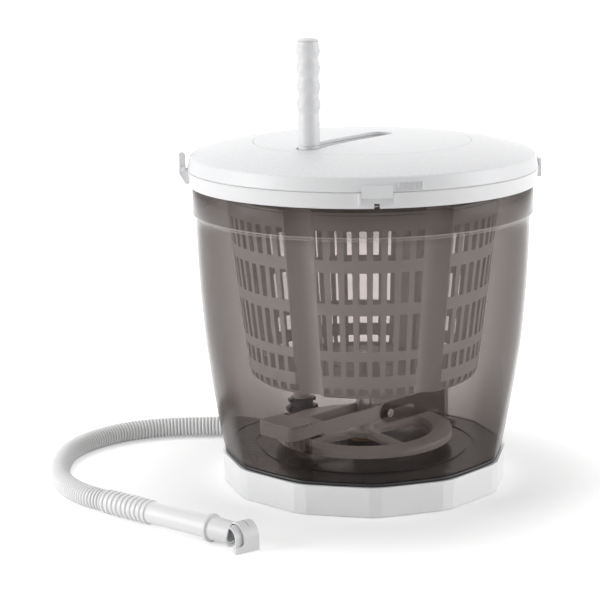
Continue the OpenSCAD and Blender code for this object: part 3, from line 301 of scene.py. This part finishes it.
def new_piece(name, bm, body):
    """A finished object at the origin from a bmesh, riding on a CAD body."""
    data = bpy.data.meshes.new(name)
    bm.to_mesh(data)
    bm.free()
    piece = bpy.data.objects.new(name, data)
    SCENE.collection.objects.link(piece)
    for face in data.polygons:
        face.use_smooth = True
    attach(piece, body)
    return piece


def spun(profile, around, steps):
    """A closed profile of points, spun a full turn round an axis through the origin."""
    bm = bmesh.new()
    verts = [bm.verts.new(p) for p in profile]
    edges = [bm.edges.new((verts[i], verts[(i + 1) % len(verts)])) for i in range(len(verts))]
    bmesh.ops.spin(bm, geom=verts + edges, cent=(0, 0, 0), axis=around, angle=2 * math.pi,
                   steps=steps, use_merge=True)
    bmesh.ops.remove_doubles(bm, verts=bm.verts, dist=SAME_POINT)
    bmesh.ops.recalc_face_normals(bm, faces=bm.faces)
    return bm


HOSE_R, RIB_DEPTH, BORE_R, RIBS, HOSE_SIDES = 0.0113, 0.0014, 0.0088, 120, 28
RIB_SHAPE = ((0.0, 0.0), (0.12, 0.05), (0.24, 0.72), (0.36, 0.95), (0.5, 1.0), (0.64, 0.95),
             (0.76, 0.72), (0.88, 0.05))
pitch = HOSE_LENGTH / RIBS
outside = [(k + t) * pitch for k in range(RIBS) for t, _ in RIB_SHAPE]
rib_radii = [HOSE_R - RIB_DEPTH * (1 - h) for _ in range(RIBS) for _, h in RIB_SHAPE]
hose_profile = [(x, 0, r) for x, r in zip(outside, rib_radii)]
hose_profile += [(HOSE_LENGTH, 0, HOSE_R - RIB_DEPTH)]
hose_profile += [(HOSE_LENGTH * k / RIBS, 0, BORE_R) for k in range(RIBS, -1, -1)]
hose_bm = spun(hose_profile, (1, 0, 0), HOSE_SIDES)


def on_way(x):
    """The place on the hose's way and its direction, x metres from the start."""
    k = min(max(1, next((i for i, m in enumerate(hose_marks) if m >= x), len(hose_marks) - 1)),
            len(hose_marks) - 1)
    a, b = hose_way[k - 1], hose_way[k]
    t = (x - hose_marks[k - 1]) / (hose_marks[k] - hose_marks[k - 1])
    before, after = hose_way[max(0, k - 2)], hose_way[min(len(hose_way) - 1, k + 1)]
    way = (b - before).normalized().lerp((after - a).normalized(), t)
    return a.lerp(b, t), way.normalized()


spots = {}
groove = hose_bm.verts.layers.float.new("groove")
for v in hose_bm.verts:
    v[groove] = min(1.0, (HOSE_R - math.hypot(v.co.y, v.co.z)) / RIB_DEPTH)
    key = round(v.co.x, 7)
    if key not in spots:
        spots[key] = on_way(v.co.x)
    centre, way = spots[key]
    side = Vector((-way.y, way.x, 0)).normalized()
    v.co = centre + side * v.co.y + Vector((0, 0, 1)) * v.co.z
hose = new_piece("ribbed_hose", hose_bm, "casing")
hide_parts("drain_hose")
print("hose faces", len(hose.data.polygons))

# %% [markdown]
# ## The smoked tub
# The tub is round at the top and turns into a twelve-sided foot with soft corners. Spinning
# its profile gives the round tub, and then each point moves in to the nearest flat where that
# lies inside the circle. A smooth minimum of the two radii leaves the corners soft.

# %% The tub's sizes
FOOT_Z, BODY_H, LEDGE_H, TOP_Z = 0.035, 0.248, 0.003, 0.3283
TUB_R, TAPER, CURVE, BAND_R, WALL = 0.172, 0.023, 1.8, 0.1755, 0.0026
SIDES, FLATS_FADE_H, FOOT_WIDENS = 12, 0.112, 1.16
CORNER_CUT, CORNER_SOFT = 0.0013, 0.0045
PRESSED_H = FLATS_FADE_H * 1.2              # above this the tub is left round
AROUND, UP_STEPS, STEPS_GROW = 288, 36, 1.3 # columns, rows, and how much taller rows get


def round_radius(z):
    """Radius of the round tub z metres above its foot."""
    if z >= BODY_H + LEDGE_H:
        return BAND_R
    if z > BODY_H:
        return TUB_R + (BAND_R - TUB_R) * (z - BODY_H) / LEDGE_H
    return TUB_R - TAPER * (1 - z / BODY_H) ** CURVE


def flat_radius(corner, point):
    """Distance to the nearest of twelve flats towards the point, for corners at a radius."""
    half = math.pi / SIDES
    return corner * math.cos(half) / math.cos(math.atan2(point.y, point.x) % (2 * half) - half)


def soft_min(a, b, blend):
    """The smaller of two numbers, with a smooth change over where they are nearly the same."""
    h = max(0.0, 1 - abs(a - b) / blend)
    return min(a, b) - blend * h * h / 4


# %% Spin the tub's two skins and flatten its foot
heights = [BODY_H * (i / UP_STEPS) ** STEPS_GROW for i in range(UP_STEPS + 1)]
heights += [BODY_H + LEDGE_H, TOP_Z - FOOT_Z]
outer_skin = [(round_radius(z), 0, FOOT_Z + z) for z in heights]
inner_skin = [(round_radius(z) - WALL, 0, FOOT_Z + z) for z in reversed(heights)]
tub_bm = spun(outer_skin + inner_skin, (0, 0, 1), AROUND)
for v in tub_bm.verts:
    z, radius = v.co.z - FOOT_Z, math.hypot(v.co.x, v.co.y)
    inset_by = WALL if radius < round_radius(z) - WALL / 2 else 0.0
    corner = (TUB_R - TAPER) * (1 + (FOOT_WIDENS - 1) * z / FLATS_FADE_H)
    near = soft_min(round_radius(z) - CORNER_CUT * max(0, 1 - z / FLATS_FADE_H),
                    flat_radius(corner, v.co), CORNER_SOFT)
    if z < PRESSED_H:
        v.co.x, v.co.y = v.co.x * (near - inset_by) / radius, v.co.y * (near - inset_by) / radius
tub = new_piece("smoked_tub", tub_bm, "casing")
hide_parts("tub")
print("tub faces", len(tub.data.polygons))

# %% [markdown]
# ## The black seal
# The seal under the tub follows the foot: twelve flats with soft corners. It is spun as a
# round band, and then every point moves in by the same step as its outer wall does there.

# %% Spin the seal and press it to twelve soft flats
SEAL_FOOT, SEAL_TOP = 0.0313, 0.035
SEAL_R, SEAL_IN = 0.1486, 0.1455
SEAL_CUT, SEAL_SOFT = 0.0016, 0.0048
UPRIGHT = 0.5                               # a face with a smaller normal Z is a wall
seal_section = [(SEAL_R, 0, SEAL_FOOT), (SEAL_R, 0, SEAL_TOP), (SEAL_IN, 0, SEAL_TOP),
                (SEAL_IN, 0, SEAL_FOOT)]
seal_bm = spun(seal_section, (0, 0, 1), AROUND)
for v in seal_bm.verts:
    radius = math.hypot(v.co.x, v.co.y)
    outer_wall = soft_min(SEAL_R - SEAL_CUT, flat_radius(SEAL_R, v.co), SEAL_SOFT)
    pressed = radius + outer_wall - SEAL_R
    v.co.x, v.co.y = v.co.x * pressed / radius, v.co.y * pressed / radius
seal = new_piece("tub_seal", seal_bm, "casing")
for face in seal.data.polygons:
    face.use_smooth = abs(face.normal.z) < UPRIGHT
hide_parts("foot_seal")
print("seal faces", len(seal.data.polygons))

# %% [markdown]
# ## The finishes
# Most of the machine is one off-white plastic with a faint sandy grain, and the inner pieces
# are a smoother, warmer plastic. No finish is one flat colour: a slow noise shifts it a
# little, and a fine noise gives the roughness and the grain of the mould.

# %% A moulded plastic
DRIFT_SCALE, GRAIN_SCALE = 9.0, 1400.0
GRAIN_SHARE, DRIFT_SHARE = 0.12, 0.05       # how far each noise shifts the roughness


def moulded(name, rough, grain_depth, **constants):
    """A finish with grain and roughness, still without colour, and its slow noise."""
    finish = Finish(name, **constants)
    slow = finish.noise(DRIFT_SCALE, 2.0)
    fine = finish.noise(GRAIN_SCALE, 2.0, 0.6)
    finish.feed("Roughness", rough + (fine - 0.5) * GRAIN_SHARE + (slow - 0.5) * DRIFT_SHARE)
    finish.bump(fine, grain_depth)
    return finish, slow


def plastic(name, color, rough, grain_depth=0.00006, drift=0.03, **constants):
    """A moulded plastic of one colour that drifts a little darker and lighter."""
    finish, slow = moulded(name, rough, grain_depth, **constants)
    darker = rgb(*[c * (1 - drift) for c in color])
    lighter = rgb(*[min(1, c * (1 + drift / 2)) for c in color])
    finish.feed("Base Color", finish.mix(slow, darker, lighter))
    return finish


# %% The record's finishes
TRANSLUCENT = {"Subsurface_Weight": 0.5, "Subsurface_Radius": (1.0, 0.95, 0.9),
               "Subsurface_Scale": 0.004}
PLASTICS = {                                # colour, roughness and what differs
    "off_white_shell": ((0.745, 0.747, 0.755), 0.40, {"drift": 0.015}),
    "pale_moulding": ((0.95, 0.92, 0.90), 0.40, {"grain_depth": 0.00003, **TRANSLUCENT}),
    "dark_floor": ((0.036, 0.037, 0.048), 0.26, {"grain_depth": 0.000003, "drift": 0.1}),
    "dark_fitting": ((0.17, 0.17, 0.195), 0.38, {"drift": 0.1}),
    "black_seal": ((0.018, 0.018, 0.022), 0.45, {"drift": 0.2}),
    "rubber_foot": ((0.045, 0.045, 0.05), 0.75, {"drift": 0.15}),
    "gear_plastic": ((0.78, 0.77, 0.72), 0.45, {}),
    "hose_grey": ((0.81, 0.812, 0.812), 0.42, {"drift": 0.02}),
    "bearing_bronze": ((0.58, 0.40, 0.20), 0.42, {"drift": 0.08, "Metallic": 1.0}),
    "bright_steel": ((0.62, 0.63, 0.65), 0.28, {"drift": 0.05, "Metallic": 1.0}),
}
FINISHES = {name: plastic(name, color, rough, **more)
            for name, (color, rough, more) in PLASTICS.items()}
# Painted light: the plinth is the shell's plastic in a paler copy, so that it renders as light as
# the lid.
plinth_lit_copy = plastic("plinth_shell_painted_light", (0.85, 0.852, 0.86), 0.38, drift=0.015)
print("plastics", len(FINISHES) + 1)

# %% [markdown]
# ## The sandy lid
# The mould of the lid is sand-blasted above its rim, so the top is a fine grain that one can
# feel. Only what lies higher than the crease gets it: the finish reads its own height.

# %% The sandy top
CREASE_HEIGHT = 0.3432
CREASE_BLEND = 0.0015
GAP_R, GAP_SHADE_WIDTH = 0.1122, 0.0009            # painted shade: a darker line along the gap round the crank's plate
SAND_SHADE, SAND_WHITE = rgb(0.70, 0.705, 0.715), rgb(0.86, 0.862, 0.87)
sandy = Finish("sandy_lid", Specular_IOR_Level=0.4)
on_top = sandy.height().eased(CREASE_HEIGHT, CREASE_HEIGHT + CREASE_BLEND)
specks = sandy.noise(420.0, 3.0, 0.65)
sand = sandy.noise(900.0, 2.0, 0.6)
slow = sandy.noise(7.0, 2.0)
bright = (0.5 + (specks - 0.5) * on_top * 1.4 + (slow - 0.5) * 0.5).clamped()
from_axis = sandy.node("VectorMath", {"operation": "LENGTH"}, {0: sandy.place((1, 1, 0))},
                       out="Value")
# Painted shade: the colour darkens along the gap round the crank's plate, where shade falls.
away_from_gap_shade = (from_axis.distance(GAP_R) / GAP_SHADE_WIDTH).clamped()
bright = bright * (0.25 + away_from_gap_shade * 0.75)
sandy.feed("Base Color", sandy.mix(bright, SAND_SHADE, SAND_WHITE))
sandy.feed("Roughness", 0.42 + on_top * 0.16 + (sand - 0.5) * 0.1)
sandy.bump((specks * 0.6 + sand * 0.4) * on_top, 0.00035, 0.6)
print("sandy above", CREASE_HEIGHT)

# %% [markdown]
# ## The ribbed hose's finish
# Each point of the hose knows how deep in a groove it lies. The grooves are painted a shade
# greyer than the ribs: painted shade, which makes the ribs read.

# %% Painted shade in the grooves
RIB_GREY, GROOVE_SHADE_GREY = rgb(0.87, 0.872, 0.872), rgb(0.56, 0.56, 0.56)
ribbed, _ = moulded("ribbed_grey_groove_shade", 0.5, 0.00006)
depth_in = ribbed.node("Attribute", {"attribute_name": "groove"}, out="Fac")
ribbed.feed("Base Color", ribbed.mix(depth_in.eased(0.0, 1.0), RIB_GREY, GROOVE_SHADE_GREY))
print("grooves", RIBS)

# %% [markdown]
# ## The pedal's highlit ribs
# The tops of the foot pedal's ribs are painted paler than the rest: a painted highlight where
# light would fall on them.

# %% Ribs with painted highlights on their tops
RIB_FROM, RIB_TO = 0.0795, 0.0812
PEDAL_PALE, RIB_TOP_HIGHLIGHT = rgb(0.80, 0.77, 0.75), rgb(0.97, 0.95, 0.93)
highlit_ribs, _ = moulded("pedal_rib_highlight", 0.36, 0.00003)
rib_top = highlit_ribs.height().eased(RIB_FROM, RIB_TO)
highlit_ribs.feed("Base Color", highlit_ribs.mix(rib_top, PEDAL_PALE, RIB_TOP_HIGHLIGHT))
print("rib tops above", RIB_FROM)

# %% [markdown]
# ## The smoked see-through plastic
# The tub is tinted and clear. A skin of it lets most light straight through with a warm brown
# tint, which a Transparent shader does without the noise and darkness of bent light. The rest
# meets a glossy brown surface. More is held back where the wall is seen at a slant.

# %% Mix the clear tint with its gloss
SKIN_TINT, GUIDE_TINT = rgb(0.87, 0.845, 0.836), rgb(0.97, 0.96, 0.955)
SKIN_HOLDS, SLANT_HOLDS, EDGE_HOLDS = 0.12, 0.50, 0.36
GUIDE_HOLDS, GUIDE_SLANT_HOLDS = 0.05, 0.25
FOOT_HOLDS, BAND_HOLDS = 0.02, 0.10
DARKER_BELOW, CLEARER_ABOVE = 0.06, 0.17        # the skin holds back more near its foot, so it is darker there
BAND_FROM, BAND_BLEND = 0.285, 0.002        # and again in the band that the collar clasps
LEDGE_LINES, LINE_WIDTH = (0.2832, 0.2862), 0.001   # painted highlight: two paler lines on the ledge's rounded edges
HIGHLIGHT_HOLDS, DRIFT_HOLDS, EDGE_POWER = 0.16, 0.015, 7.0
BROWN, PALER_BROWN = rgb(0.045, 0.034, 0.029), rgb(0.055, 0.042, 0.036)
LEDGE_HIGHLIGHT = rgb(0.55, 0.52, 0.50)


def smoked(name, holds, slant_holds, tint):
    """A see-through finish; holds and slant_holds are the shares of light it holds back."""
    finish = Finish(name, Roughness=0.17, IOR=1.5, Specular_IOR_Level=0.2)
    drift = finish.noise(5.0, 1.0)
    facing = finish.node("LayerWeight", {}, {"Blend": 0.5}, out="Facing")
    up = finish.height()
    brown = finish.mix(drift, BROWN, PALER_BROWN)
    # Painted highlight: along the ledge's two lines the colour turns paler and the skin holds more
    # back.
    low, high = [(1 - up.distance(line) / LINE_WIDTH).clamped() for line in LEDGE_LINES]
    line = (low + high).clamped()
    finish.feed("Base Color", finish.mix(line, brown, LEDGE_HIGHLIGHT))
    held = (holds + facing * slant_holds + facing ** EDGE_POWER * EDGE_HOLDS
            + (1 - up.eased(DARKER_BELOW, CLEARER_ABOVE)) * FOOT_HOLDS
            + up.eased(BAND_FROM, BAND_FROM + BAND_BLEND) * BAND_HOLDS + line * HIGHLIGHT_HOLDS
            + (drift - 0.5) * DRIFT_HOLDS).clamped()
    clear = finish.node("BsdfTransparent", {}, {"Color": tint})
    glossy = Wire(finish, finish.shader.outputs[0])
    mixed = finish.node("MixShader", {}, {0: held, 1: clear, 2: glossy})
    finish.tree.links.new(mixed.socket, finish.tree.nodes["Material Output"].inputs["Surface"])
    return finish


FINISHES["smoked_clear"] = smoked("smoked_clear", SKIN_HOLDS, SLANT_HOLDS, SKIN_TINT)
guide_finish = smoked("clear_guide", GUIDE_HOLDS, GUIDE_SLANT_HOLDS, GUIDE_TINT)
print("smoke holds", SKIN_HOLDS)

# %% Give every solid its finish
OWN_FINISH = {"lid_shell": sandy, "crank_plate": sandy, "pedal_guide": guide_finish,
              "pedal_lever": highlit_ribs, "plinth": plinth_lit_copy}
for part in frame["record"]["subparts"]:
    solid = frame["nodes"][part["node"]]
    finish = OWN_FINISH.get(part["node"], FINISHES[part["material_slot"]])
    solid.data.materials.clear()
    solid.data.materials.append(finish.material)
hose.data.materials.append(ribbed.material)
tub.data.materials.append(FINISHES["smoked_clear"].material)
seal.data.materials.append(FINISHES["black_seal"].material)
print("finishes", len(FINISHES) + len(set(OWN_FINISH.values())) + 1)
